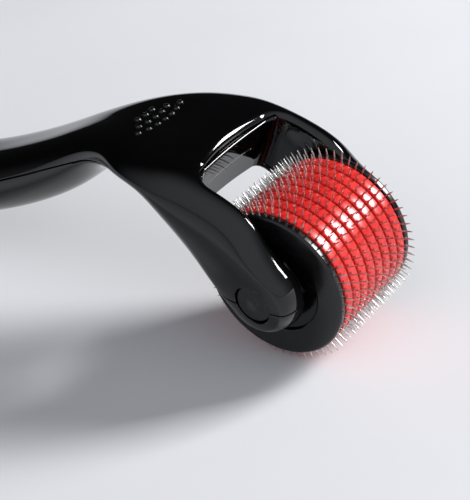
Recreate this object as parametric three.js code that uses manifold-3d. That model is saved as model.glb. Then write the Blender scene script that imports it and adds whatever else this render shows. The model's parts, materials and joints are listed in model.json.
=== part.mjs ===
// Derma roller: a curved two-shell handle whose forked head carries a drum of needle rows.
// Millimetres, +Z up. +X points from the handle towards the drum, and the drum's axle runs along Y.
// The origin is under the middle of the tool, on the surface that it lies on.
import * as THREE from 'three';
import { mergeVertices } from 'three/addons/utils/BufferGeometryUtils.js';
import Module from 'manifold-3d';

const wasm = await Module();
wasm.setup();

// ---- driving dimensions ----
const LENGTH = 135; // overall, handle end to needle tips
const DRUM_RADIUS = 10; // rings and end caps
const NEEDLE_TIP_RADIUS = 11.5; // needles stand 1.5 mm proud
const NEEDLES_PER_ROW = 60;
const NEEDLE_THICKNESS = 0.25;
const NEEDLE_ROOT_RADIUS = 7.5;
const RING_COUNT = 8;
const RING_PITCH = 1.8;
const STACK_GAP = 0.025; // between the faces stacked on the axle
const CAP_OUTER_Y = 8.3; // outer face of an end cap, from the drum's middle
const CAP_FILLET = 0.35;
const CAP_RECESS_RADIUS = 6.3;
const CAP_RECESS = 0.5; // depth of the dish in a cap's outer face
const ROW_TWIST_DEG = [0, 0.9, 1.8, 0.3, 1.3, 0, 0.5, 0.4, 0.7]; // how far each row is turned on the axle

const HEX_RADIUS = 4.6; // corner radius of the axle's keyed middle
const HEX_CLEARANCE = 0.06;
const JOURNAL_RADIUS = 2.6;
const JOURNAL_CLEARANCE = 0.055;
const JOURNAL_RECESS = 0.85; // journal end below the arm's outer face
const SHOULDER_RADIUS = 3.6; // step between journal and keyed middle
const ROUND_SEGMENTS = 48;

const HEAD_HALF_WIDTH = 13.4; // outer faces of the two arms, at the axle
const SLOT_HALF_WIDTH = 8.8; // inner faces of the two arms
const SLOT_REAR_X = -8.8; // ends of the fork's rear wall, from the axle
const RIM_BOW = 0.9; // how much deeper the rear wall's middle is above the knee
const WALL_BOW = 0.3; // and below it
const SLOT_CORNER_RADIUS = 2.4;
const SLOT_KNEE_Z = 14.4; // below this height the rear wall slopes back, to clear the needles
const SLOT_SLOPE_DEG = 27;
const TIP_LENGTH = 5.2; // rounded arm end beyond the axle
const SHELL_WALL = 1.6;
const SEAM_GAP = 0.2;
const SIDE_SEGMENTS = 12; // points across the top, and across the bottom, of a section
const SPAN_STEPS = 2; // loft steps from one station to the next
const END_STEPS = 5; // loft steps over a rounded end

const DOT_RADIUS = 0.45;
const DOT_HEIGHT = 0.3;
const DOT_ARCS = [7, 5, 3]; // moulded grip dots, from the drum towards the handle
const DOT_ARC_SPACING = 1.65;
const DOT_SPACING = 1.5;
const DOT_ARC_RADIUS = 11;
const DOT_FIELD_X = -19.8;

const AXLE = new THREE.Vector3(LENGTH / 2 - NEEDLE_TIP_RADIUS, 0, NEEDLE_TIP_RADIUS);

// Side stations of the handle, from the axle to the handle's end. top and bottom are [x, z] from the
// axle in the middle plane. half is the half width. crease is how far up the side face reaches, as a
// share of the height. flat and square are the exponents of the top's and the bottom's curve: 2 is an
// oval, and a higher one is flatter with tighter corners. edge sets how crisp the crease is: 2 is smooth.
const STATIONS = [
  { top: [4.6, 4.0], bottom: [-4.3, -3.6], half: 13.4, crease: 0.88, flat: 14, square: 14, edge: 1.5 },
  { top: [1.5, 7.6], bottom: [-7.5, 0.2], half: 13.1, crease: 0.78, flat: 14, square: 14, edge: 1.5 },
  { top: [-1.5, 11.5], bottom: [-10.6, 4.2], half: 12.7, crease: 0.6, flat: 14, square: 12, edge: 1.5 },
  { top: [-8.8, 15.05], bottom: [-14.0, 8.4], half: 12.45, crease: 0.46, flat: 10, square: 9, edge: 1.5 },
  { top: [-14.2, 16.1], bottom: [-17.0, 11.2], half: 12, crease: 0.44, flat: 7, square: 6, edge: 1.5 },
  { top: [-19.8, 16.35], bottom: [-20.6, 12.0], half: 10.8, crease: 0.46, flat: 4.8, square: 4, edge: 1.8 },
  { top: [-24.8, 16.3], bottom: [-24.2, 11.4], half: 8.7, crease: 0.45, flat: 3.8, square: 3.2, edge: 2 },
  { top: [-29.8, 15.2], bottom: [-28.4, 9.4], half: 7.2, crease: 0.48, flat: 3.5, square: 3, edge: 2 },
  { top: [-35.2, 13.3], bottom: [-33.4, 6.0], half: 6.6, crease: 0.5, flat: 3.4, square: 3, edge: 2 },
  { top: [-42.0, 10.6], bottom: [-40.2, 2.3], half: 6.6, crease: 0.5, flat: 3.4, square: 3, edge: 2 },
  { top: [-52.0, 7.1], bottom: [-50.4, -1.6], half: 7, crease: 0.5, flat: 3.4, square: 3, edge: 2 },
  { top: [-64.0, 3.9], bottom: [-63.0, -4.9], half: 7.6, crease: 0.5, flat: 3.2, square: 3, edge: 2 },
  { top: [-78.0, 1.6], bottom: [-77.2, -8.0], half: 8.2, crease: 0.5, flat: 3, square: 2.8, edge: 2 },
  { top: [-92.0, 0.2], bottom: [-91.5, -10.1], half: 8.5, crease: 0.5, flat: 2.8, square: 2.6, edge: 2 },
  { top: [-105.0, -0.9], bottom: [-104.8, -11.6], half: 8.5, crease: 0.5, flat: 2.6, square: 2.6, edge: 2 },
  { top: [-114.5, -2.0], bottom: [-114.5, -12.0], half: 8, crease: 0.5, flat: 2.5, square: 2.6, edge: 2 },
];
const END_LENGTH = 9.0; // rounded handle end beyond the last station
const REAR_SPAN_START = 3; // the hollow runs from this station to the handle's end

// Parting lines between the two shells, as [x, z] from the axle, from in front of the arms to behind
// the handle. The outer one crosses the axle holes, follows the arms' lower edge and then the handle's
// side. Between the arms the inner one stays higher, so the lower shell closes the fork's rear wall.
const PARTING = [
  [12, -0.4], [-5.8, -0.4], [-12.6, 7.7], [-16.2, 11.4], [-19.5, 13.1], [-24.0, 13.5],
  [-28.5, 12.6], [-34.0, 10.4], [-42.0, 7.4], [-52.0, 4.0], [-64.0, 0.8], [-78.0, -2.2],
  [-92.0, -4.3], [-105.0, -5.8], [-130.0, -7.4],
];
const INNER_PARTING = [[12, 14.3], [-9.6, 14.3], [-14, 14.2], [-19.5, 13.1]];
const INNER_PARTING_HALF_WIDTH = 8.4; // just inside the arms

// ---- solids ----
function toSolid(geometry) {
  const bare = geometry.index ? geometry.toNonIndexed() : geometry.clone();
  for (const name of Object.keys(bare.attributes)) {
    if (name !== 'position') bare.deleteAttribute(name);
  }
  const welded = mergeVertices(bare, 1e-5);
  return new wasm.Manifold(new wasm.Mesh({
    numProp: 3,
    vertProperties: new Float32Array(welded.attributes.position.array),
    triVerts: new Uint32Array(welded.index.array),
  }));
}

function toGeometry(solid) {
  const mesh = solid.getMesh();
  const geometry = new THREE.BufferGeometry();
  geometry.setAttribute('position', new THREE.BufferAttribute(mesh.vertProperties, 3));
  geometry.setIndex(new THREE.BufferAttribute(mesh.triVerts, 1));
  geometry.computeVertexNormals();
  return geometry;
}

// A prism whose outline lies in the XZ plane, from yLow to yHigh.
function prismAlongY(outline, yLow, yHigh) {
  const shape = new THREE.Shape(outline.map(([x, z]) => new THREE.Vector2(x, z)));
  const geometry = new THREE.ExtrudeGeometry(shape, { depth: yHigh - yLow, bevelEnabled: false });
  geometry.rotateX(Math.PI / 2);
  geometry.translate(0, yHigh, 0);
  return geometry;
}

function circleOutline(radius, segments, turn = 0) {
  return Array.from({ length: segments }, (_, i) => {
    const angle = turn + (i / segments) * 2 * Math.PI;
    return [radius * Math.cos(angle), radius * Math.sin(angle)];
  });
}

function cylinderAlongY(radius, yLow, yHigh, segments = ROUND_SEGMENTS) {
  return toSolid(prismAlongY(circleOutline(radius, segments), yLow, yHigh));
}

// ---- handle loft ----
function readStation(station) {
  const top = new THREE.Vector2(...station.top);
  const bottom = new THREE.Vector2(...station.bottom);
  const height = top.distanceTo(bottom);
  return {
    base: bottom,
    up: top.clone().sub(bottom).normalize(),
    height,
    half: station.half,
    crease: station.crease * height,
    flat: station.flat,
    square: station.square,
    edge: station.edge,
  };
}

// Smooth stations between the given ones, SPAN_STEPS to a span.
function refine(stations) {
  const spline = (pick) => new THREE.CatmullRomCurve3(stations.map(pick), false, 'centripetal');
  const tops = spline((s) => new THREE.Vector3(s.top[0], s.top[1], s.half));
  const bottoms = spline((s) => new THREE.Vector3(s.bottom[0], s.bottom[1], 0));
  const shapes = spline((s) => new THREE.Vector3(s.crease, s.flat, s.square));
  const edges = spline((s) => new THREE.Vector3(s.edge, s.top[0], 0));
  const count = (stations.length - 1) * SPAN_STEPS;
  return Array.from({ length: count + 1 }, (_, i) => {
    const top = tops.getPoint(i / count);
    const bottom = bottoms.getPoint(i / count);
    const shape = shapes.getPoint(i / count);
    return {
      top: [top.x, top.y],
      bottom: [bottom.x, bottom.y],
      half: Math.min(top.z, HEAD_HALF_WIDTH),
      crease: shape.x,
      flat: shape.y,
      square: shape.z,
      edge: edges.getPoint(i / count).x,
    };
  });
}

// One section as a ring of points: over the top from right to left, then back along the bottom.
function sectionRing(section, inset) {
  const half = section.half - inset;
  const top = section.height - inset;
  const crease = THREE.MathUtils.clamp(section.crease, inset * 1.5, section.height - inset * 1.5);
  const points = [];
  const place = (side, height) => {
    const at = section.base.clone().addScaledVector(section.up, height);
    points.push(new THREE.Vector3(at.x, side * half, at.y));
  };
  for (let i = 0; i <= SIDE_SEGMENTS; i++) {
    const side = Math.sin((i / SIDE_SEGMENTS - 0.5) * Math.PI);
    const rise = Math.max(0, 1 - Math.abs(side) ** section.flat) ** (1 / section.edge);
    place(side, crease + (top - crease) * rise);
  }
  for (let i = 1; i < SIDE_SEGMENTS; i++) {
    const side = Math.sin((0.5 - i / SIDE_SEGMENTS) * Math.PI);
    const drop = Math.sqrt(1 - Math.abs(side) ** section.square);
    place(side, crease + (inset - crease) * drop);
  }
  return points;
}

// Closes a loft with a rounded end: the last section shrinks along a quarter circle, to a small flat.
function roundedEnd(section, direction, length, keepWidth) {
  const middle = section.height / 2;
  const lastAngle = 0.47 * Math.PI;
  return Array.from({ length: END_STEPS }, (_, i) => {
    const angle = ((i + 1) / END_STEPS) * lastAngle;
    const shrink = Math.cos(angle);
    const base = section.base.clone()
      .addScaledVector(section.up, middle * (1 - shrink))
      .addScaledVector(direction, (length * Math.sin(angle)) / Math.sin(lastAngle));
    return {
      ...section,
      base,
      height: section.height * shrink,
      crease: section.crease * shrink,
      half: keepWidth ? section.half : section.half * shrink,
    };
  });
}

function loft(rings) {
  const size = rings[0].length;
  const positions = rings.flat().flatMap((p) => [p.x, p.y, p.z]);
  const index = [];
  for (let i = 0; i < rings.length - 1; i++) {
    for (let j = 0; j < size; j++) {
      const a = i * size + j;
      const b = i * size + ((j + 1) % size);
      index.push(a, b, b + size, a, b + size, a + size);
    }
  }
  for (const [ring, flip] of [[0, true], [rings.length - 1, false]]) {
    for (let j = 1; j < size - 1; j++) {
      const fan = [ring * size, ring * size + j, ring * size + j + 1];
      index.push(...(flip ? fan.reverse() : fan));
    }
  }
  const geometry = new THREE.BufferGeometry();
  geometry.setAttribute('position', new THREE.Float32BufferAttribute(positions, 3));
  geometry.setIndex(index);
  const solid = toSolid(geometry);
  return solid.volume() < 0 ? toSolid(geometry.clone().setIndex(index.reverse())) : solid;
}

function handleOutside() {
  const sections = refine(STATIONS).map(readStation);
  const first = sections[0];
  const last = sections[sections.length - 1];
  const armForward = new THREE.Vector2(first.up.y, -first.up.x);
  const tip = roundedEnd(first, armForward, TIP_LENGTH, true).reverse();
  const end = roundedEnd(last, new THREE.Vector2(-1, 0), END_LENGTH, false);
  const all = [...tip, ...sections, ...end];
  return loft(all.map((section) => sectionRing(section, 0)));
}

function handleHollow() {
  const sections = refine(STATIONS.slice(REAR_SPAN_START)).map(readStation).slice(1);
  return loft(sections.map((section) => sectionRing(section, SHELL_WALL)));
}

// The lower shell's side of the parting lines, grown by rise upwards and, between the arms, sideways.
function belowParting(rise) {
  const low = -60;
  const under = (line, halfWidth) => {
    const lifted = line.map(([x, z]) => [x, z + rise]);
    const outline = [...lifted, [line[line.length - 1][0], low], [line[0][0], low]];
    return toSolid(prismAlongY(outline, -halfWidth, halfWidth));
  };
  return under(PARTING, 30).add(under(INNER_PARTING, INNER_PARTING_HALF_WIDTH + rise));
}

// The fork's outline from above: open to the front, with rounded rear corners and a bowed rear wall.
function forkPlan(bow) {
  const r = SLOT_CORNER_RADIUS;
  const w = SLOT_HALF_WIDTH;
  const front = 30;
  const plan = new THREE.Shape();
  plan.moveTo(front, -w);
  plan.lineTo(front, w);
  plan.lineTo(SLOT_REAR_X + r, w);
  plan.absarc(SLOT_REAR_X + r, w - r, r, Math.PI / 2, Math.PI, false);
  plan.quadraticCurveTo(SLOT_REAR_X - 2 * bow, 0, SLOT_REAR_X, r - w);
  plan.absarc(SLOT_REAR_X + r, r - w, r, Math.PI, 1.5 * Math.PI, false);
  plan.closePath();
  return plan;
}

// The space between the arms: upright above the knee, and sheared backwards below it.
function forkSlot() {
  const depth = 40;
  const overlap = 0.05;
  const options = { depth, bevelEnabled: false, curveSegments: 5 };
  const above = new THREE.ExtrudeGeometry(forkPlan(RIM_BOW), options);
  above.translate(0, 0, SLOT_KNEE_Z - overlap);
  const below = new THREE.ExtrudeGeometry(forkPlan(WALL_BOW), options);
  below.translate(0, 0, -depth);
  const slope = Math.tan(THREE.MathUtils.degToRad(SLOT_SLOPE_DEG));
  below.applyMatrix4(new THREE.Matrix4().set(1, 0, slope, 0, 0, 1, 0, 0, 0, 0, 1, SLOT_KNEE_Z, 0, 0, 0, 1));
  return toSolid(above).add(toSolid(below));
}

function topHeightAt(x) {
  const sections = refine(STATIONS);
  const after = sections.findIndex((s) => s.top[0] < x);
  const a = sections[after - 1].top;
  const b = sections[after].top;
  return THREE.MathUtils.mapLinear(x, a[0], b[0], a[1], b[1]);
}

// Nested arcs of round grip dots behind the fork, as [x, y] from the axle.
function gripDots() {
  const dots = [];
  DOT_ARCS.forEach((count, arc) => {
    for (let i = 0; i < count; i++) {
      const across = (i - (count - 1) / 2) * DOT_SPACING;
      const bow = DOT_ARC_RADIUS - Math.sqrt(DOT_ARC_RADIUS ** 2 - across ** 2);
      dots.push([DOT_FIELD_X - arc * DOT_ARC_SPACING - bow, across]);
    }
  });
  return dots;
}

function addDots(shell) {
  return gripDots().reduce((solid, [x, y]) => {
    const dot = new THREE.CylinderGeometry(DOT_RADIUS * 0.7, DOT_RADIUS, 1, 8);
    dot.rotateX(Math.PI / 2);
    dot.translate(x, y, topHeightAt(x) + DOT_HEIGHT - 0.5);
    return solid.add(toSolid(dot));
  }, shell);
}

// Everything below the surface that the tool lies on: it leaves a flat under the handle's end.
function belowRest() {
  const depth = 10;
  const block = new THREE.BoxGeometry(2 * LENGTH, 4 * HEAD_HALF_WIDTH, depth);
  block.translate(0, 0, -NEEDLE_TIP_RADIUS - depth / 2);
  return toSolid(block);
}

function makeShells() {
  const holeRadius = (JOURNAL_RADIUS + JOURNAL_CLEARANCE) / Math.cos(Math.PI / ROUND_SEGMENTS);
  const body = handleOutside()
    .subtract(belowRest())
    .subtract(forkSlot())
    .subtract(handleHollow())
    .subtract(cylinderAlongY(holeRadius, -20, 20));
  return {
    upper_shell: addDots(body.subtract(belowParting(SEAM_GAP))),
    lower_shell: body.intersect(belowParting(0)),
  };
}

// ---- drum ----
const hexBore = (radius) => circleOutline(radius, 6);

// A disc on the keyed axle: outline in the XZ plane, a hexagonal bore, from yLow to yHigh.
function keyedDisc(outline, yLow, yHigh) {
  const disc = toSolid(prismAlongY(outline, yLow, yHigh));
  const bore = prismAlongY(hexBore(HEX_RADIUS + HEX_CLEARANCE), yLow - 1, yHigh + 1);
  return disc.subtract(toSolid(bore));
}

function rowPlane(row) {
  return (row - RING_COUNT / 2) * RING_PITCH;
}

// Sixty needles standing out of a thin root disc, which is clamped between two rings.
function needleRow(row) {
  const turn = THREE.MathUtils.degToRad(ROW_TWIST_DEG[row]);
  const step = Math.PI / NEEDLES_PER_ROW;
  const outline = [];
  for (let i = 0; i < 2 * NEEDLES_PER_ROW; i++) {
    const radius = i % 2 ? NEEDLE_ROOT_RADIUS : NEEDLE_TIP_RADIUS;
    outline.push([radius * Math.cos(turn + i * step), radius * Math.sin(turn + i * step)]);
  }
  const y = rowPlane(row);
  return keyedDisc(outline, y - NEEDLE_THICKNESS / 2, y + NEEDLE_THICKNESS / 2);
}

function ring(index) {
  const inset = NEEDLE_THICKNESS / 2 + STACK_GAP;
  const outline = circleOutline(DRUM_RADIUS, NEEDLES_PER_ROW);
  return keyedDisc(outline, rowPlane(index) + inset, rowPlane(index + 1) - inset);
}

// An end cap: a disc with a rounded outer edge and a shallow dish in its outer face.
function endCap(side) {
  const inner = rowPlane(RING_COUNT) + NEEDLE_THICKNESS / 2 + STACK_GAP;
  const profile = [
    [0, inner], [DRUM_RADIUS, inner], [DRUM_RADIUS, CAP_OUTER_Y - CAP_FILLET],
    [DRUM_RADIUS - CAP_FILLET * 0.3, CAP_OUTER_Y - CAP_FILLET * 0.3],
    [DRUM_RADIUS - CAP_FILLET, CAP_OUTER_Y], [CAP_RECESS_RADIUS, CAP_OUTER_Y],
    [CAP_RECESS_RADIUS, CAP_OUTER_Y - CAP_RECESS], [0, CAP_OUTER_Y - CAP_RECESS],
  ];
  const disc = new THREE.LatheGeometry(profile.map((p) => new THREE.Vector2(...p)), NEEDLES_PER_ROW);
  if (side < 0) disc.rotateX(Math.PI);
  const bore = prismAlongY(hexBore(HEX_RADIUS + HEX_CLEARANCE), -20, 20);
  return toSolid(disc).subtract(toSolid(bore));
}

// The drum's axle: a keyed middle, a round shoulder and a journal at each end.
function drumAxle() {
  const journalEnd = HEAD_HALF_WIDTH - JOURNAL_RECESS;
  const shoulderEnd = (CAP_OUTER_Y + SLOT_HALF_WIDTH) / 2;
  const keyedEnd = CAP_OUTER_Y - CAP_RECESS;
  return toSolid(prismAlongY(hexBore(HEX_RADIUS), -keyedEnd, keyedEnd))
    .add(cylinderAlongY(SHOULDER_RADIUS, -shoulderEnd, shoulderEnd))
    .add(cylinderAlongY(JOURNAL_RADIUS, -journalEnd, journalEnd));
}

// ---- materials ----
const plastic = (color, roughness) => new THREE.MeshStandardMaterial({ color, roughness, metalness: 0 });
const blackPlastic = () => plastic(0x0c0c0e, 0.18);
const redPlastic = () => plastic(0xd81a24, 0.25);
const axlePlastic = () => plastic(0x141416, 0.4);
const steel = () => new THREE.MeshStandardMaterial({ color: 0xc9c8c2, roughness: 0.3, metalness: 1 });

// ---- assembly ----
const group = new THREE.Group();
group.position.copy(AXLE);

function addPart(name, solid, material) {
  const mesh = new THREE.Mesh(toGeometry(solid), material);
  mesh.name = name;
  group.add(mesh);
}

const shells = makeShells();
addPart('upper_shell', shells.upper_shell, blackPlastic());
addPart('lower_shell', shells.lower_shell, blackPlastic());
addPart('drum_axle', drumAxle(), axlePlastic());
addPart('right_end_cap', endCap(-1), blackPlastic());
addPart('left_end_cap', endCap(1), blackPlastic());
for (let i = 0; i < RING_COUNT; i++) {
  addPart(`ring_${i + 1}`, ring(i), redPlastic());
}
for (let i = 0; i <= RING_COUNT; i++) {
  addPart(`needle_row_${i + 1}`, needleRow(i), steel());
}

export default group;
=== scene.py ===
import json
import math

import bpy
import numpy as np
from mathutils import Matrix, Vector


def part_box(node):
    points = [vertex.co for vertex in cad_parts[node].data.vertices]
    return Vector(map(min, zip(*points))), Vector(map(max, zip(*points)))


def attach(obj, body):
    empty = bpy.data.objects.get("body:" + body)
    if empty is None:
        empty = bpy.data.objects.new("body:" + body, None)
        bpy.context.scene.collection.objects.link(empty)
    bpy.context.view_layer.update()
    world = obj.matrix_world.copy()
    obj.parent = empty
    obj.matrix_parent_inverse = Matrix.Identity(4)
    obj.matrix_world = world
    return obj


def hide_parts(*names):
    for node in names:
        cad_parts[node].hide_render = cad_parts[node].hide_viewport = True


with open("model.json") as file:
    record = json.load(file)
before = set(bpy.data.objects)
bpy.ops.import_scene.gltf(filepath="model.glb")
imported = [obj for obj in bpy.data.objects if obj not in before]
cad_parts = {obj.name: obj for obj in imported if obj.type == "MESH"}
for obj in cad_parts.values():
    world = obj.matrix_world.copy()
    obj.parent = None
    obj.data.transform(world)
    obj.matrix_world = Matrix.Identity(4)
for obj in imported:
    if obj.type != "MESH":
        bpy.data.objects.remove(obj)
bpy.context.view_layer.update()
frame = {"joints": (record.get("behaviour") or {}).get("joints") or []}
AXLE = Vector(frame["joints"][0]["pos_m"])
MM = 0.001


def node_box(node):
    """A CAD node's box in millimetres from the axle."""
    low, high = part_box(node)
    return np.array(low - AXLE) / MM, np.array(high - AXLE) / MM


REST_Z = node_box("lower_shell")[0][2]
DRUM_RADIUS = node_box("ring_1")[1][2]
JOURNAL_END = node_box("drum_axle")[1][1]
CAP_LOW, CAP_HIGH = node_box("left_end_cap")
ROW_LOW, ROW_HIGH = node_box("needle_row_1")

NEEDLE_TIP_RADIUS = ROW_HIGH[2]
ROW_HALF = (ROW_HIGH[1] - ROW_LOW[1]) / 2
ROW_COUNT = 9
RING_COUNT = 8
RING_PITCH = -(ROW_LOW[1] + ROW_HIGH[1]) / RING_COUNT
NEEDLES_PER_ROW = 60
ROW_TWIST_DEG = (0, 0.9, 1.8, 0.3, 1.3, 0, 0.5, 0.4, 0.7)
HEX_BORE_RADIUS = 4.66
HEX_SHAFT_RADIUS = 4.6

# ---- handle: side stations from the axle to the handle's end ----
# top x, top z, bottom x, bottom z, half width, crease share, top exponent, bottom exponent, crease exponent
STATIONS = np.array([
    (4.6, 4.0, -4.3, -3.6, 13.4, 0.88, 14, 14, 1.5),
    (1.5, 7.6, -7.5, 0.2, 13.1, 0.78, 14, 14, 1.5),
    (-1.5, 11.5, -10.6, 4.2, 12.7, 0.6, 14, 12, 1.5),
    (-8.8, 15.05, -14.0, 8.4, 12.45, 0.46, 10, 9, 1.5),
    (-14.2, 16.1, -17.0, 11.2, 12, 0.44, 7, 6, 1.5),
    (-19.8, 16.35, -20.6, 12.0, 10.8, 0.46, 4.8, 4, 1.8),
    (-24.8, 16.3, -24.2, 11.4, 8.7, 0.45, 3.8, 3.2, 2),
    (-29.8, 15.2, -28.4, 9.4, 7.2, 0.48, 3.5, 3, 2),
    (-35.2, 13.3, -33.4, 6.0, 6.6, 0.5, 3.4, 3, 2),
    (-42.0, 10.6, -40.2, 2.3, 6.6, 0.5, 3.4, 3, 2),
    (-52.0, 7.1, -50.4, -1.6, 7, 0.5, 3.4, 3, 2),
    (-64.0, 3.9, -63.0, -4.9, 7.6, 0.5, 3.2, 3, 2),
    (-78.0, 1.6, -77.2, -8.0, 8.2, 0.5, 3, 2.8, 2),
    (-92.0, 0.2, -91.5, -10.1, 8.5, 0.5, 2.8, 2.6, 2),
    (-105.0, -0.9, -104.8, -11.6, 8.5, 0.5, 2.6, 2.6, 2),
    (-114.5, -2.0, -114.5, -12.0, 8, 0.5, 2.5, 2.6, 2),
], float)
LAST_STATION = len(STATIONS) - 1
TIP_LENGTH = 5.2
END_LENGTH = 9.0

SLOT_HALF_WIDTH = 8.8
SLOT_REAR_X = -8.8
RIM_BOW = 0.9
WALL_BOW = 0.3
SLOT_CORNER_RADIUS = 2.4
ARM_FLARE = 0.35
SLOT_KNEE_Z = 14.4
SLOT_SLOPE = math.tan(math.radians(27))
LEDGE = 0.22
HOLE_RADIUS = 2.66
RIM_FILLET = 1.0
ARM_FILLET = 1.1
LOWER_FILLET = 0.35
HOLE_FILLET = 0.16
END_FILLET = 0.4
REST_FILLET = 0.25
SEAM_FILLET = 0.16
WALL_SEAM_FILLET = 0.22
SEAM_GAP = 0.1
SEAM_GAP_LOSS = 0.6

# Parting lines as x, z: the outer one runs along the sides, the inner one between the arms.
PARTING = np.array([
    (12, -0.4), (-5.8, -0.4), (-12.6, 7.7), (-16.2, 11.4), (-19.5, 13.1), (-24.0, 13.5),
    (-28.5, 12.6), (-34.0, 10.4), (-42.0, 7.4), (-52.0, 4.0), (-64.0, 0.8), (-78.0, -2.2),
    (-92.0, -4.3), (-105.0, -5.8), (-130.0, -7.4),
], float)
INNER_PARTING = np.array([(12, 14.4), (-9.6, 14.4), (-14, 14.5), (-19.5, 16.1), (-24, 16.5)], float)
INNER_HALF_WIDTH = 8.4

DOT_RADIUS = 0.45
DOT_HEIGHT = 0.3
DOT_ARCS = (7, 5, 3)
DOT_ARC_SPACING = 1.65
DOT_SPACING = 1.5
DOT_ARC_RADIUS = 11.0
DOT_FIELD_X = -19.8


# ---- small numeric helpers ----
def natural_spline(values):
    """Second derivatives of the natural cubic spline through rows of values, one unit apart."""
    count = len(values)
    system = np.eye(count)
    right = np.zeros_like(values)
    for i in range(1, count - 1):
        system[i, i - 1:i + 2] = (1 / 6, 4 / 6, 1 / 6)
        right[i] = values[i + 1] - 2 * values[i] + values[i - 1]
    return np.linalg.solve(system, right)


def smooth_step(value, low, high):
    t = np.clip((value - low) / (high - low), 0, 1)
    return t * t * (3 - 2 * t)


BENDS = natural_spline(STATIONS)


def station_at(s):
    """The station's nine values at parameter s, which may lie between two stations."""
    s = np.clip(s, 0, LAST_STATION)
    i = np.minimum(s.astype(int), LAST_STATION - 1)
    t = (s - i)[..., None]
    u = 1 - t
    mixed = u * STATIONS[i] + t * STATIONS[i + 1]
    return mixed + ((u ** 3 - u) * BENDS[i] + (t ** 3 - t) * BENDS[i + 1]) / 6


def side_frame(s):
    """Base point, up direction and height of the section at s."""
    v = station_at(s)
    base = v[..., 2:4]
    up = v[..., 0:2] - base
    height = np.sqrt((up ** 2).sum(-1))
    return v, base, up / height[..., None], height


def ahead_of(s, x, z):
    """How far the side point x, z lies in front of the section at s."""
    _, base, up, _ = side_frame(s)
    return (x - base[..., 0]) * up[..., 1] - (z - base[..., 1]) * up[..., 0]


COARSE = np.linspace(0, LAST_STATION, 181)
COARSE_BASE, COARSE_UP, COARSE_HEIGHT = side_frame(COARSE)[1:]
BATCH = 20000


def solve_station(x, z):
    """The section that the side point x, z lies on."""
    flat_x, flat_z = x.ravel(), z.ravel()
    result = np.empty(flat_x.shape)
    for start in range(0, len(flat_x), BATCH):
        px = flat_x[start:start + BATCH, None]
        pz = flat_z[start:start + BATCH, None]
        dx, dz = px - COARSE_BASE[:, 0], pz - COARSE_BASE[:, 1]
        ahead = dx * COARSE_UP[:, 1] - dz * COARSE_UP[:, 0]
        rise = dx * COARSE_UP[:, 0] + dz * COARSE_UP[:, 1]
        off = np.abs(rise / COARSE_HEIGHT - 0.5)
        crossing = (ahead[:, :-1] <= 0) & (ahead[:, 1:] > 0)
        cost = np.where(crossing, off[:, :-1], 1e6)
        best = cost.argmin(1)
        rows = np.arange(len(best))
        a, b = ahead[rows, best], ahead[rows, best + 1]
        found = cost[rows, best] < 1e5
        s = COARSE[best] + (COARSE[1] - COARSE[0]) * np.where(found, a / np.where(found, a - b, 1), 0)
        s = np.where(found, s, np.where(ahead[:, 0] > 0, 0.0, float(LAST_STATION)))
        result[start:start + BATCH] = s
    step = 1e-4
    for _ in range(3):
        value = ahead_of(result, flat_x, flat_z)
        slope = (ahead_of(result + step, flat_x, flat_z) - value) / step
        inside = (result > 0) & (result < LAST_STATION) & (np.abs(slope) > 1e-6)
        move = np.where(inside, -value / np.where(inside, slope, 1), 0)
        result = np.clip(result + np.clip(move, -0.1, 0.1), 0, LAST_STATION)
    return result.reshape(x.shape)


def oval_distance(y, q, half, power, scale, edge):
    """Distance from |y/half|^power + q^edge = 1, where q counts in units of scale. Negative inside."""
    side = np.abs(y) / half
    side_power = side ** power
    g = np.maximum(side_power + q ** edge, 1e-6)
    slope_y = power * side_power / np.maximum(side, 1e-6) / half
    slope_q = edge * np.maximum(q, 1e-6) ** (edge - 1) / scale
    slope = np.maximum(np.sqrt(slope_y ** 2 + slope_q ** 2), 1e-4)
    return np.clip(power * (g - g ** (1 - 1 / power)) / slope, -6, 30)


def side_terms(x, z):
    """Everything about a side point x, z that doesn't depend on y."""
    s = solve_station(x, z)
    v, base, up, height = side_frame(s)
    dx, dz = x - base[..., 0], z - base[..., 1]
    rise = dx * up[..., 0] + dz * up[..., 1]
    ahead = dx * up[..., 1] - dz * up[..., 0]
    tip = (s <= 0) & (ahead > 0)
    end = (s >= LAST_STATION) & (ahead < 0)
    u = np.where(tip, ahead / TIP_LENGTH, 0)
    back = np.where(end, -ahead / END_LENGTH, 0)
    shrink = np.sqrt(np.maximum(1 - back ** 2, 0.001))
    w = (rise - height / 2) / (height / 2) / shrink
    reach = np.sqrt(u * u + w * w)
    turn = np.where(tip, w / np.maximum(reach, 1e-6), np.sign(w))
    along = np.where(tip, reach, np.abs(w))
    crease = v[..., 5]
    level = 2 * crease - 1
    q_top = (np.where(turn > 0, along, -along) - level) / (1 - level)
    q_low = (np.where(turn > 0, -along, along) + level) / (1 + level)
    q_top_tip = np.maximum(along - level, 0) / (1 - level)
    q_low_tip = (along + level) / (1 + level)
    q_top = np.where(tip, q_top_tip, np.maximum(q_top, 0))
    q_low = np.where(tip, q_low_tip, np.maximum(q_low, 0))
    top_share = np.where(tip, (1 + turn) / 2, (w > level) * 1.0)
    return dict(
        half=v[..., 4] * shrink, top_power=v[..., 6], low_power=v[..., 7], q_top=q_top, q_low=q_low,
        top_scale=(1 - crease) * height * shrink, low_scale=crease * height * shrink, share=top_share,
        beyond=np.where(end, -ahead - END_LENGTH, -30.0), rim=smooth_step(w, -0.2, 0.5), edge=v[..., 8],
        flare=smooth_step(w, 0.0, 1.0) * smooth_step(x, -9.5, -5.5), arm=smooth_step(x, -9.0, -6.0),
    )


def body_distance(y, t):
    """Signed distance from the handle's outside, before anything is cut from it."""
    top = oval_distance(y, t["q_top"], t["half"], t["top_power"], t["top_scale"], t["edge"])
    low = oval_distance(y, t["q_low"], t["half"], t["low_power"], t["low_scale"], 2)
    return joined(t["share"] * top + (1 - t["share"]) * low, t["beyond"], END_FILLET)


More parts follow.
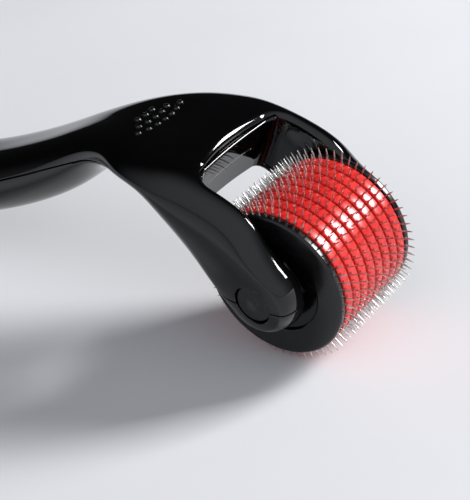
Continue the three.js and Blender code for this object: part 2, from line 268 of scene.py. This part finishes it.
def joined(a, b, radius):
    """Where both a and b hold, with the edge between them rounded to radius."""
    inner = np.minimum(-radius, np.maximum(a, b))
    return inner + np.sqrt(np.maximum(radius + a, 0) ** 2 + np.maximum(radius + b, 0) ** 2)


def slot_distance(x, y, z, flare, bow_depth):
    """Signed distance from the space between the arms.

    Its rear wall is bowed, and slopes back below the knee.
    """
    under = SLOT_KNEE_Z - z
    soft = np.sqrt(under ** 2 + 0.06)
    slope = SLOT_SLOPE * (1 + under / soft) / 2
    bow = bow_depth * np.maximum(1 - (y / (SLOT_HALF_WIDTH - SLOT_CORNER_RADIUS)) ** 2, 0)
    rear = SLOT_REAR_X - bow - SLOT_SLOPE * (under + soft) / 2
    a = (rear - x) / np.sqrt(1 + slope ** 2)
    b = np.abs(y) - SLOT_HALF_WIDTH - ARM_FLARE * flare
    r = SLOT_CORNER_RADIUS
    outside = np.sqrt(np.maximum(a + r, 0) ** 2 + np.maximum(b + r, 0) ** 2)
    return outside + np.minimum(np.maximum(a + r, b + r), 0) - r


def handle_distance(x, y, z, t, ledge, bow_depth):
    """The cut handle: fork slot, axle holes and the flat it lies on."""
    body = joined(body_distance(y, t), REST_Z - z, REST_FILLET)
    upper_fillet = RIM_FILLET + (ARM_FILLET - RIM_FILLET) * t["arm"]
    fillet = LOWER_FILLET + (upper_fillet - LOWER_FILLET) * t["rim"]
    void = slot_distance(x, y, z, t["flare"], bow_depth) + ledge * smooth_step(-x, 4.0, 6.0)
    cut = joined(body, -void, fillet)
    return joined(cut, HOLE_RADIUS - np.sqrt(x * x + z * z), HOLE_FILLET)


def line_height(line, x):
    order = np.argsort(line[:, 0])
    return np.interp(x, line[order, 0], line[order, 1])


SEAM_X = np.linspace(-130, 12, 2841)
SEAM_RAW = line_height(PARTING, SEAM_X)
SEAM_WINDOW = 101
SEAM_KERNEL = np.hanning(SEAM_WINDOW) / np.hanning(SEAM_WINDOW).sum()
SEAM_Z = np.convolve(np.pad(SEAM_RAW, SEAM_WINDOW // 2, mode="edge"), SEAM_KERNEL, mode="valid")


def outer_seam(x):
    return np.interp(x, SEAM_X, SEAM_Z)


def inner_seam(x):
    return line_height(INNER_PARTING, x)


def seam_distance(x, y, z):
    """Signed distance from the parting surface. Negative below it."""
    slope = (outer_seam(x + 0.05) - outer_seam(x - 0.05)) / 0.1
    outer = (z - outer_seam(x)) / np.sqrt(1 + slope ** 2)
    inner = np.maximum(z - inner_seam(x), np.abs(y) - INNER_HALF_WIDTH)
    return np.minimum(outer, np.where(x > -16, inner, outer))


def shell_distance(x, y, z, t, side):
    """side is 1 for the upper shell and -1 for the lower one."""
    gap = SEAM_GAP * (1 - SEAM_GAP_LOSS * smooth_step(-x, 8.0, 14.0))
    seam = -side * seam_distance(x, y, z) + gap / 2
    between_arms = smooth_step(-x, 4.0, 6.0) * smooth_step(9.2 - np.abs(y), 0, 0.3) * (z > 11)
    fillet = SEAM_FILLET + WALL_SEAM_FILLET * between_arms * (side < 0)
    ledge, bow_depth = (LEDGE, WALL_BOW) if side < 0 else (0.0, RIM_BOW)
    return joined(handle_distance(x, y, z, t, ledge, bow_depth), seam, fillet)


# ---- surface nets on a grid whose layers follow the two parting lines ----
def steps(*spans):
    """Grid coordinates from spans of (start, end, step)."""
    parts = []
    for start, end, step in spans:
        count = max(1, int(round(abs(end - start) / step)))
        parts.append(np.linspace(start, end, count + 1)[:-1])
    parts.append([spans[-1][1]])
    return np.concatenate(parts)


def shell_grid(fine):
    """Grid coordinates gx, gy and gz[x, layer], with finer layers at the parting lines."""
    k = 1 if fine else 2
    gx = steps((-125.0, -121.0, 0.25 * k), (-121.0, -26, 0.6 * k), (-26, -10.2, 0.25 * k),
               (-10.2, -8.9, 0.1 * k), (-8.9, 4.6, 0.2 * k), (4.6, 8.0, 0.15 * k))
    half = steps((0, 8.0, 0.32 * k), (8.0, 8.6, 0.2 * k), (8.6, 9.0, 0.1 * k), (9.0, 11.4, 0.22 * k),
                 (11.4, 13.6, 0.15 * k))
    gy = np.concatenate([-half[:0:-1], half])
    under = steps((-9.4, -2.0, 0.3 * k), (-2.0, -0.3, 0.2 * k), (-0.3, 0.0, 0.05))
    between = steps((0.0, 0.03, 0.005), (0.03, 0.97, 0.022 * k), (0.97, 1.03, 0.005))
    above = steps((0.0, 0.3, 0.06), (0.3, 6.6, 0.22 * k))
    low = outer_seam(gx)[:, None]
    high = np.where(gx > -16, inner_seam(gx), 0)[:, None]
    high = np.maximum(high, low + 3.0)
    gz = np.concatenate([
        low + under[None, :-1],
        low + (high - low) * between[None, :-1],
        high + (high - low) * 0.03 + above[None, :],
    ], axis=1)
    return gx, gy, gz


CORNERS = [(i, j, k) for i in (0, 1) for j in (0, 1) for k in (0, 1)]
EDGES = [(a, b) for ai, a in enumerate(CORNERS) for b in CORNERS[ai + 1:]
         if sum(abs(p - q) for p, q in zip(a, b)) == 1]


def surface_net(values, gx, gy, gz):
    """Vertices and quads of the zero surface of values on the grid."""
    inside = values < 0
    nx, ny, nz = values.shape
    total = np.zeros((nx - 1, ny - 1, nz - 1), np.int8)
    for i, j, k in CORNERS:
        total += inside[i:nx - 1 + i, j:ny - 1 + j, k:nz - 1 + k]
    cells = np.argwhere((total > 0) & (total < 8))
    number = np.full(total.shape, -1, np.int32)
    number[tuple(cells.T)] = np.arange(len(cells))
    place = np.zeros((len(cells), 3))
    hits = np.zeros(len(cells))

    def corner(offset):
        i, j, k = cells[:, 0] + offset[0], cells[:, 1] + offset[1], cells[:, 2] + offset[2]
        return values[i, j, k], np.stack([gx[i], gy[j], gz[i, k]], 1)

    for a, b in EDGES:
        va, pa = corner(a)
        vb, pb = corner(b)
        crossed = (va < 0) != (vb < 0)
        part = np.where(crossed, va / np.where(crossed, va - vb, 1), 0)[:, None]
        place += np.where(crossed[:, None], pa + (pb - pa) * part, 0)
        hits += crossed
    place /= hits[:, None]

    quads = []
    for axis in range(3):
        first = [slice(None)] * 3
        second = [slice(None)] * 3
        first[axis], second[axis] = slice(0, -1), slice(1, None)
        p, q = [d for d in range(3) if d != axis]
        first[p] = second[p] = slice(1, -1)
        first[q] = second[q] = slice(1, -1)
        change = inside[tuple(first)] != inside[tuple(second)]
        at = np.argwhere(change)
        at[:, p] += 1
        at[:, q] += 1
        goes_out = inside[tuple(at.T)]
        around = []
        for dp, dq in ((-1, -1), (0, -1), (0, 0), (-1, 0)):
            c = at.copy()
            c[:, p] += dp
            c[:, q] += dq
            around.append(number[tuple(c.T)])
        quad = np.stack(around, 1)
        turn = goes_out if axis != 1 else ~goes_out
        quad[~turn] = quad[~turn][:, ::-1]
        quads.append(quad)
    return place, np.concatenate(quads)


def neighbour_mean(points, quads):
    total = np.zeros_like(points)
    count = np.zeros(len(points))
    for i in range(4):
        a, b = quads[:, i], quads[:, (i + 1) % 4]
        for u, v in ((a, b), (b, a)):
            for axis in range(3):
                total[:, axis] += np.bincount(u, points[v, axis], len(points))
            count += np.bincount(u, minlength=len(points))
    return total / np.maximum(count, 1)[:, None]


def gradient(distance, points):
    h = 0.01
    out = np.empty_like(points)
    for axis in range(3):
        ahead, behind = points.copy(), points.copy()
        ahead[:, axis] += h
        behind[:, axis] -= h
        out[:, axis] = (distance(ahead) - distance(behind)) / (2 * h)
    return out


def settle(points, distance, passes=2):
    """Moves points onto the surface."""
    for _ in range(passes):
        slope = gradient(distance, points)
        length = np.maximum((slope ** 2).sum(1), 0.05)
        move = -distance(points)[:, None] * slope / length[:, None]
        size = np.sqrt((move ** 2).sum(1, keepdims=True))
        points = points + move * np.minimum(1, 0.12 / np.maximum(size, 1e-9))
    return points


def unit(vectors):
    return vectors / np.maximum(np.sqrt((vectors ** 2).sum(-1, keepdims=True)), 1e-9)


def make_mesh(name, points, faces, normals=None):
    """A mesh object from points in millimetres from the axle."""
    mesh = bpy.data.meshes.new(name)
    placed = np.asarray(points) * MM + np.array(AXLE)
    faces = np.asarray(faces)
    mesh.vertices.add(len(placed))
    mesh.vertices.foreach_set("co", placed.astype(np.float32).ravel())
    size = faces.shape[1]
    mesh.loops.add(faces.size)
    mesh.loops.foreach_set("vertex_index", faces.astype(np.int32).ravel())
    mesh.polygons.add(len(faces))
    mesh.polygons.foreach_set("loop_start", np.arange(0, faces.size, size, dtype=np.int32))
    mesh.update(calc_edges=True)
    mesh.validate()
    mesh.polygons.foreach_set("use_smooth", np.ones(len(mesh.polygons), bool))
    if normals is not None:
        mesh.normals_split_custom_set_from_vertices(unit(normals).astype(np.float32))
    piece = bpy.data.objects.new(name, mesh)
    bpy.context.scene.collection.objects.link(piece)
    return piece


GRID = shell_grid(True)


def shell_surface(side):
    """One shell's points, quads and normals. side is 1 for the upper shell and -1 for the lower one."""
    gx, gy, gz = GRID
    x2 = np.repeat(gx[:, None], gz.shape[1], 1)
    terms = side_terms(x2, gz)
    wide = {key: value[:, None, :] for key, value in terms.items()}
    x3, y3, z3 = gx[:, None, None], gy[None, :, None], gz[:, None, :]
    values = shell_distance(x3, y3, z3, wide, side)
    points, quads = surface_net(values, gx, gy, gz)

    def distance(p):
        return shell_distance(p[:, 0], p[:, 1], p[:, 2], side_terms(p[:, 0], p[:, 2]), side)

    points = settle(points, distance, 2)
    for _ in range(2):
        slope = unit(gradient(distance, points))
        pull = (neighbour_mean(points, quads) - points) * 0.4
        points = points + pull - (pull * slope).sum(1, keepdims=True) * slope
        points = settle(points, distance, 1)
    return points, quads, gradient(distance, points)


# ---- grip dots ----
def dot_centres():
    for arc, count in enumerate(DOT_ARCS):
        for i in range(count):
            across = (i - (count - 1) / 2) * DOT_SPACING
            bow = DOT_ARC_RADIUS - math.sqrt(DOT_ARC_RADIUS ** 2 - across ** 2)
            yield DOT_FIELD_X - arc * DOT_ARC_SPACING - bow, across


def upper_skin_height(x, y):
    """Height of the handle's top at x, y, found by halving."""
    low, high = 10.0, 20.0
    for _ in range(30):
        mid = (low + high) / 2
        point = np.array([x]), np.array([mid])
        inside = body_distance(np.array([y]), side_terms(*point))[0] < 0
        low, high = (mid, high) if inside else (low, mid)
    return low


def dome(x, y):
    """One dot: a dome with a soft foot, standing square to the skin."""
    z = upper_skin_height(x, y)
    h = 0.2
    normal = np.array([
        (upper_skin_height(x - h, y) - upper_skin_height(x + h, y)) / (2 * h),
        (upper_skin_height(x, y - h) - upper_skin_height(x, y + h)) / (2 * h),
        1.0,
    ])
    normal /= np.linalg.norm(normal)
    side = np.cross(normal, (0, 1, 0))
    side /= np.linalg.norm(side)
    front = np.cross(normal, side)
    profile = [(DOT_RADIUS * 1.35, -0.12), (DOT_RADIUS * 1.22, 0.0), (DOT_RADIUS * 1.06, 0.03)]
    for turn in np.linspace(0.16, math.pi / 2 - 0.12, 7):
        profile.append((DOT_RADIUS * math.cos(turn), DOT_HEIGHT * math.sin(turn) ** 0.9))
    points, quads = [], []
    around = 24
    for radius, height in profile:
        for i in range(around):
            a = 2 * math.pi * i / around
            points.append(np.array([x, y, z]) + side * radius * math.cos(a) + front * radius * math.sin(a)
                          + normal * height)
    for r in range(len(profile) - 1):
        for i in range(around):
            j = (i + 1) % around
            quads.append((r * around + i, r * around + j, (r + 1) * around + j, (r + 1) * around + i))
    top = len(points)
    points.append(np.array([x, y, z]) + normal * DOT_HEIGHT)
    foot = len(points)
    points.append(np.array([x, y, z]) - normal * 0.12)
    last = (len(profile) - 1) * around
    for i in range(0, around, 2):
        j, k = i + 1, (i + 2) % around
        quads.append((last + i, last + j, last + k, top))
        quads.append((k, j, i, foot))
    return np.array(points), np.array(quads)


def vertex_normals(points, faces):
    a, b = points[faces[:, 2]] - points[faces[:, 0]], points[faces[:, 3]] - points[faces[:, 1]]
    face = np.cross(a, b)
    total = np.zeros_like(points)
    for i in range(faces.shape[1]):
        for axis in range(3):
            total[:, axis] += np.bincount(faces[:, i], face[:, axis], len(points))
    return total


def merged(parts):
    points, faces, normals, offset = [], [], [], 0
    for p, f, n in parts:
        points.append(p)
        faces.append(f + offset)
        normals.append(n)
        offset += len(p)
    return np.concatenate(points), np.concatenate(faces), np.concatenate(normals)


def with_normals(points, faces):
    return points, faces, unit(vertex_normals(points, faces))


# ---- revolved pieces round the axle ----
def revolved(radii, heights, angles, closed=True):
    """Points and quads from radii[profile, angle], heights[profile, angle] round the Y axis."""
    rows, columns = radii.shape
    x = radii * np.cos(angles)[None, :]
    z = radii * np.sin(angles)[None, :]
    points = np.stack([x, heights, z], -1).reshape(-1, 3)
    last = rows if closed else rows - 1
    r = np.arange(last)[:, None]
    c = np.arange(columns)[None, :]
    nr, nc = (r + 1) % rows, (c + 1) % columns
    quads = np.stack([r * columns + c, nr * columns + c, nr * columns + nc, r * columns + nc], -1)
    quads = quads.reshape(-1, 4)
    return points, quads


def facing_out(points, quads, centre_y):
    """Turns the quads over if the surface faces inwards."""
    p = points - np.array([0, centre_y, 0])
    a, b, c, d = (p[quads[:, i]] for i in range(4))
    volume = (np.cross(a, b) * c).sum() + (np.cross(a, c) * d).sum()
    return quads if volume > 0 else quads[:, ::-1]


def hex_reach(angles, corner_radius):
    part = np.mod(angles, math.pi / 3) - math.pi / 6
    return corner_radius * math.cos(math.pi / 6) / np.cos(part)


def hex_bore(angles):
    return hex_reach(angles, HEX_BORE_RADIUS)


def hex_shaft(angles):
    return hex_reach(angles, HEX_SHAFT_RADIUS)


RING_CLEARANCE = 0.025
RING_FILLET = 0.15
RING_CROWN = 0.03
RING_FACE_RADIUS = 8.6
ROOT_DISC_RADIUS = 7.9
NEEDLE_SIDES = 10
NOTCH_HALF_DEG = 0.95
NOTCH_DEPTH = 0.3
NOTCH_REACH = 0.4
NOTCH_OFFSETS = np.radians([-3, -2.1, -1.4, -1.05, -0.85, -0.6, -0.3, 0, 0.3, 0.6, 0.85, 1.05, 1.4, 2.1])


def row_plane(row):
    return (row - RING_COUNT / 2) * RING_PITCH


def ring_surface(index):
    """A ring with a hexagonal bore, rounded edges and a notch at each needle of its row."""
    y0 = row_plane(index) + ROW_HALF + RING_CLEARANCE
    y1 = row_plane(index + 1) - ROW_HALF - RING_CLEARANCE
    turn = math.radians(ROW_TWIST_DEG[index])
    pitch = 2 * math.pi / NEEDLES_PER_ROW
    angles = (turn + pitch * np.arange(NEEDLES_PER_ROW)[:, None] + NOTCH_OFFSETS[None, :]).ravel()
    offset = np.tile(np.degrees(NOTCH_OFFSETS), NEEDLES_PER_ROW)
    share = np.clip(1 - (np.abs(offset) / NOTCH_HALF_DEG) ** 2.2, 0, 1) ** 0.7
    fillet = RING_FILLET
    width = y1 - y0
    bore = hex_reach(angles, HEX_BORE_RADIUS)
    face = np.full_like(angles, RING_FACE_RADIUS)
    rows = [(bore, np.full_like(angles, y1)), (bore, np.full_like(angles, y0)),
            (face, np.full_like(angles, y0))]
    profile = [(DRUM_RADIUS - fillet - 0.1, 0.0)]
    for a in np.linspace(0, math.pi / 2, 6):
        profile.append((DRUM_RADIUS - fillet + fillet * math.sin(a), fillet - fillet * math.cos(a)))
    for u in (0.26, 0.33, 0.4, 0.46, 0.54, 0.75, 1.0):
        profile.append((DRUM_RADIUS + RING_CROWN * (1 - (2 * u / width - 1) ** 2), u))
    for a in np.linspace(math.pi / 2, 0, 6):
        profile.append((DRUM_RADIUS - fillet + fillet * math.sin(a), width - fillet + fillet * math.cos(a)))
    for radius, u in profile:
        depth = NOTCH_DEPTH * max(0.0, 1 - (u / NOTCH_REACH) ** 2) ** 0.6 if u < NOTCH_REACH else 0.0
        rows.append((radius - depth * share, np.full_like(angles, y0 + u)))
    rows.append((face, np.full_like(angles, y1)))
    points, quads = revolved(np.array([r for r, _ in rows]), np.array([h for _, h in rows]), angles)
    return points, facing_out(points, quads, (y0 + y1) / 2)


def lathe(profile, around=192):
    """A closed ring from (radius, y) pairs, with radius either a number or a function of the angle."""
    angles = np.arange(around) * 2 * math.pi / around
    radii = np.array([r(angles) if callable(r) else np.full(around, float(r)) for r, _ in profile])
    heights = np.array([np.full(around, float(y)) for _, y in profile])
    points, quads = revolved(radii, heights, angles)
    return points, facing_out(points, quads, float(heights.mean()))


def rounded(radius, y_in, y_out, fillet, count=6):
    """Profile of an outer edge rounded from the rim to the face at y_out."""
    sign = 1 if y_out > y_in else -1
    return [(radius - fillet + fillet * math.cos(a), y_out - sign * (fillet - fillet * math.sin(a)))
            for a in np.linspace(0, math.pi / 2, count)]


def cap_surface(side):
    inner = side * abs(CAP_LOW[1])
    outer = side * abs(CAP_HIGH[1])
    profile = [(hex_bore, outer - side * 0.5), (hex_bore, inner), (DRUM_RADIUS - 0.25, inner)]
    profile += [(DRUM_RADIUS - 0.08, inner + side * 0.02), (DRUM_RADIUS, inner + side * 0.12)]
    profile += rounded(DRUM_RADIUS, inner, outer, 0.34)
    for r, y in ((6.75, 0.0), (6.6, 0.02), (6.48, 0.08), (6.4, 0.2), (6.36, 0.4), (6.3, 0.48), (6.2, 0.5)):
        profile.append((r, outer - side * y))
    return lathe(profile)


def axle_surface():
    """A round journal at each end and a hexagonal middle."""
    end = JOURNAL_END
    profile = []
    for side in (-1, 1):
        half = [(0.02, end - 0.03), (1.5, end - 0.02), (2.35, end), (2.47, end - 0.02), (2.56, end - 0.1),
                (2.6, end - 0.22), (2.6, 8.56), (2.7, 8.5), (3.6, 8.45), (3.6, 7.76), (hex_shaft, 7.74)]
        half = [(r, side * y) for r, y in half]
        profile += half if side < 0 else half[::-1]
    return lathe(profile, 144)


def needle_row_surface(row):
    """Sixty round needles, each drawn to a point, on a thin root disc."""
    y = row_plane(row)
    turn = math.radians(ROW_TWIST_DEG[row])
    half = ROW_HALF
    sides = NEEDLE_SIDES
    disc = lathe([(hex_bore, y - half), (ROOT_DISC_RADIUS, y - half), (ROOT_DISC_RADIUS, y + half),
                  (hex_bore, y + half)], 120)
    parts = [with_normals(*disc)]
    profile = [(0.02, 7.6), (half, 7.62), (half * 0.98, 10.0), (half * 0.92, 10.55), (half * 0.72, 10.95),
               (half * 0.45, 11.25), (half * 0.2, 11.43), (0.008, NEEDLE_TIP_RADIUS)]
    around = 2 * math.pi * np.arange(sides) / sides
    local = []
    for radius, reach in profile:
        for a in around:
            local.append((reach, radius * math.cos(a), radius * math.sin(a)))
    local = np.array(local)
    quads = []
    for r in range(len(profile) - 1):
        for i in range(sides):
            j = (i + 1) % sides
            quads.append((r * sides + i, (r + 1) * sides + i, (r + 1) * sides + j, r * sides + j))
    quads = np.array(quads)
    ends = np.array([(0, 1, 2, 3), (0, 3, 4, 9), (9, 4, 5, 8), (8, 5, 6, 7)])
    last = (len(profile) - 1) * sides
    quads = np.concatenate([quads, ends, ends[:, ::-1] + last])
    for i in range(NEEDLES_PER_ROW):
        a = turn + 2 * math.pi * i / NEEDLES_PER_ROW
        out = np.array([math.cos(a), 0, math.sin(a)])
        side = np.array([-math.sin(a), 0, math.cos(a)])
        points = local[:, :1] * out + local[:, 1:2] * np.array([0, 1.0, 0]) + local[:, 2:] * side
        points[:, 1] += y
        parts.append(with_normals(points, quads))
    return merged(parts)


# ---- materials ----
def new_material(name):
    material = bpy.data.materials.new(name)
    material.use_nodes = True
    nodes, links = material.node_tree.nodes, material.node_tree.links
    nodes.clear()
    output = nodes.new("ShaderNodeOutputMaterial")
    shader = nodes.new("ShaderNodeBsdfPrincipled")
    links.new(shader.outputs["BSDF"], output.inputs["Surface"])
    coordinates = nodes.new("ShaderNodeTexCoord")
    return material, nodes, links, shader, coordinates.outputs["Object"]


def noise(nodes, links, coordinate, scale, detail=3.0, stretch=None):
    if stretch is not None:
        mapping = nodes.new("ShaderNodeMapping")
        mapping.inputs["Scale"].default_value = stretch
        links.new(coordinate, mapping.inputs["Vector"])
        coordinate = mapping.outputs["Vector"]
    texture = nodes.new("ShaderNodeTexNoise")
    texture.inputs["Scale"].default_value = scale
    texture.inputs["Detail"].default_value = detail
    links.new(coordinate, texture.inputs["Vector"])
    return texture.outputs["Fac"]


def spread(nodes, links, value, low, high, from_low=0.35, from_high=0.65):
    node = nodes.new("ShaderNodeMapRange")
    node.inputs["From Min"].default_value = from_low
    node.inputs["From Max"].default_value = from_high
    node.inputs["To Min"].default_value = low
    node.inputs["To Max"].default_value = high
    links.new(value, node.inputs["Value"])
    return node.outputs["Result"]


def ramp(nodes, links, value, dark, light, low=0.35, high=0.65):
    node = nodes.new("ShaderNodeValToRGB")
    node.color_ramp.elements[0].position = low
    node.color_ramp.elements[0].color = (*dark, 1)
    node.color_ramp.elements[1].position = high
    node.color_ramp.elements[1].color = (*light, 1)
    links.new(value, node.inputs["Fac"])
    return node.outputs["Color"]


def bump(nodes, links, shader, heights):
    """Adds up bumps of (value, strength, distance in metres)."""
    previous = None
    for value, strength, distance in heights:
        node = nodes.new("ShaderNodeBump")
        node.inputs["Strength"].default_value = strength
        node.inputs["Distance"].default_value = distance
        links.new(value, node.inputs["Height"])
        if previous is not None:
            links.new(previous, node.inputs["Normal"])
        previous = node.outputs["Normal"]
    links.new(previous, shader.inputs["Normal"])


def gloss_plastic(name, dark, light, rough_low, rough_high, ior=1.5):
    material, nodes, links, shader, where = new_material(name)
    tone = noise(nodes, links, where, 90, 4)
    links.new(ramp(nodes, links, tone, dark, light), shader.inputs["Base Color"])
    wear = noise(nodes, links, where, 420, 5)
    links.new(spread(nodes, links, wear, rough_low, rough_high), shader.inputs["Roughness"])
    shader.inputs["IOR"].default_value = ior
    broad = noise(nodes, links, where, 55, 1)
    fine = noise(nodes, links, where, 2600, 2)
    bump(nodes, links, shader, [(broad, 0.35, 0.00006), (fine, 0.05, 0.000004)])
    return material


def steel():
    material, nodes, links, shader, where = new_material("needle_steel")
    drawn = noise(nodes, links, where, 900, 3, (1, 4, 1))
    links.new(ramp(nodes, links, drawn, (0.42, 0.41, 0.40), (0.70, 0.69, 0.67)), shader.inputs["Base Color"])
    links.new(spread(nodes, links, drawn, 0.18, 0.38), shader.inputs["Roughness"])
    shader.inputs["Metallic"].default_value = 1.0
    bump(nodes, links, shader, [(drawn, 0.1, 0.00001)])
    return material


def floor_material():
    material, nodes, links, shader, where = new_material("pale_board")
    tone = noise(nodes, links, where, 14, 5)
    color = ramp(nodes, links, tone, (0.775, 0.782, 0.805), (0.81, 0.818, 0.84))
    links.new(color, shader.inputs["Base Color"])
    grain = noise(nodes, links, where, 900, 4)
    links.new(spread(nodes, links, grain, 0.7, 0.9), shader.inputs["Roughness"])
    shader.inputs["Specular IOR Level"].default_value = 0.2
    bump(nodes, links, shader, [(grain, 0.12, 0.00004)])
    return material


BLACK = gloss_plastic("black_gloss", (0.0009, 0.0009, 0.001), (0.0018, 0.0018, 0.0021),
                      0.035, 0.075, 1.52)
CAP_BLACK = gloss_plastic("cap_black", (0.002, 0.002, 0.0023), (0.005, 0.005, 0.006), 0.16, 0.28)
RED = gloss_plastic("red_gloss", (0.62, 0.018, 0.016), (0.76, 0.034, 0.028), 0.18, 0.28)
AXLE_BLACK = gloss_plastic("axle_satin", (0.002, 0.002, 0.0023), (0.005, 0.005, 0.006), 0.22, 0.36)
STEEL = steel()


def finish_piece(piece, material, body, slot, *nodes):
    piece.data.materials.append(material)
    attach(piece, body)
    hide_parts(*nodes)
    return piece


# ---- pieces ----
upper = [shell_surface(1)]
for dot_x, dot_y in dot_centres():
    upper.append(with_normals(*dome(dot_x, dot_y)))
finish_piece(make_mesh("upper_shell_skin", *merged(upper)), BLACK, "handle", "black_gloss_plastic",
             "upper_shell")
finish_piece(make_mesh("lower_shell_skin", *shell_surface(-1)), BLACK, "handle", "black_gloss_plastic",
             "lower_shell")

for number in range(RING_COUNT):
    finish_piece(make_mesh(f"ring_{number + 1}_tiles", *with_normals(*ring_surface(number))), RED, "drum",
                 "red_gloss_plastic", f"ring_{number + 1}")
for number in range(ROW_COUNT):
    finish_piece(make_mesh(f"needle_row_{number + 1}_needles", *needle_row_surface(number)), STEEL, "drum",
                 "needle_steel", f"needle_row_{number + 1}")
finish_piece(make_mesh("right_cap_body", *with_normals(*cap_surface(-1))), CAP_BLACK, "drum",
             "black_gloss_plastic", "right_end_cap")
finish_piece(make_mesh("left_cap_body", *with_normals(*cap_surface(1))), CAP_BLACK, "drum",
             "black_gloss_plastic", "left_end_cap")
finish_piece(make_mesh("axle_body", *with_normals(*axle_surface())), AXLE_BLACK, "drum", "axle_plastic",
             "drum_axle")

# ---- floor ----
FLOOR_HALF = 3.0
floor_mesh = bpy.data.meshes.new("floor")
floor_mesh.from_pydata(
    [(-FLOOR_HALF, -FLOOR_HALF, 0), (FLOOR_HALF, -FLOOR_HALF, 0), (FLOOR_HALF, FLOOR_HALF, 0),
     (-FLOOR_HALF, FLOOR_HALF, 0)], [], [(0, 1, 2, 3)])
floor = bpy.data.objects.new("floor", floor_mesh)
bpy.context.scene.collection.objects.link(floor)
floor_mesh.materials.append(floor_material())

# ---- light ----
KEY_DIRECTION = Vector((0.572, 0.655, 0.495)).normalized()
KEY_DISTANCE = 0.8
KEY_SIZE = 0.24
KEY_POWER = 8.6
WORLD_TOWARD = Vector((0.55, -0.80, 0.25)).normalized()
WORLD_FROM = -0.35
WORLD_TO = 0.9
WORLD_DARK = 0.012
WORLD_LIGHT = 0.75
WORLD_COLOR = (0.96, 0.985, 1.05, 1)


def area_light(name, direction, distance, size, power, color=(1, 1, 1)):
    data = bpy.data.lights.new(name, "AREA")
    data.shape = "RECTANGLE"
    data.size = size[0]
    data.size_y = size[1]
    data.energy = power
    data.color = color
    lamp = bpy.data.objects.new(name, data)
    bpy.context.scene.collection.objects.link(lamp)
    lamp.location = AXLE + direction * distance
    lamp.rotation_mode = "QUATERNION"
    lamp.rotation_quaternion = (-direction).to_track_quat("-Z", "Y")
    return lamp


area_light("key", KEY_DIRECTION, KEY_DISTANCE, (KEY_SIZE, KEY_SIZE), KEY_POWER)


def make_world():
    """A dim room: dark behind the object and lighter on the near side."""
    world = bpy.data.worlds.new("studio")
    bpy.context.scene.world = world
    world.use_nodes = True
    nodes, links = world.node_tree.nodes, world.node_tree.links
    where = nodes.new("ShaderNodeTexCoord")
    toward = nodes.new("ShaderNodeVectorMath")
    toward.operation = "DOT_PRODUCT"
    toward.inputs[1].default_value = WORLD_TOWARD
    links.new(where.outputs["Generated"], toward.inputs[0])
    level = nodes.new("ShaderNodeMapRange")
    level.interpolation_type = "SMOOTHERSTEP"
    level.inputs["From Min"].default_value = WORLD_FROM
    level.inputs["From Max"].default_value = WORLD_TO
    level.inputs["To Min"].default_value = WORLD_DARK
    level.inputs["To Max"].default_value = WORLD_LIGHT
    links.new(toward.outputs["Value"], level.inputs["Value"])
    nodes["Background"].inputs["Color"].default_value = WORLD_COLOR
    links.new(level.outputs["Result"], nodes["Background"].inputs["Strength"])


make_world()

# ---- camera ----
CAMERA_FROM_AXLE = Vector((101.459, -129.650, 100.127)) * MM
CAMERA_RIGHT = Vector((0.8024, 0.5735, -0.1652))
CAMERA_DOWN = Vector((0.1861, -0.5034, -0.8438))
CAMERA_LENS = 108
CAMERA_SENSOR = 36
camera_data = bpy.data.cameras.new("camera")
camera_data.sensor_fit = "AUTO"
camera_data.sensor_width = CAMERA_SENSOR
camera_data.lens = CAMERA_LENS
camera_data.clip_start = 0.01
camera_data.clip_end = 20
camera = bpy.data.objects.new("camera", camera_data)
bpy.context.scene.collection.objects.link(camera)
right = CAMERA_RIGHT.normalized()
back = right.cross(-CAMERA_DOWN).normalized()
up = back.cross(right)
turn = Matrix((right, up, back)).transposed()
camera.matrix_world = Matrix.Translation(AXLE + CAMERA_FROM_AXLE) @ turn.to_4x4()
bpy.context.scene.camera = camera
bpy.context.scene.view_settings.view_transform = "Standard"
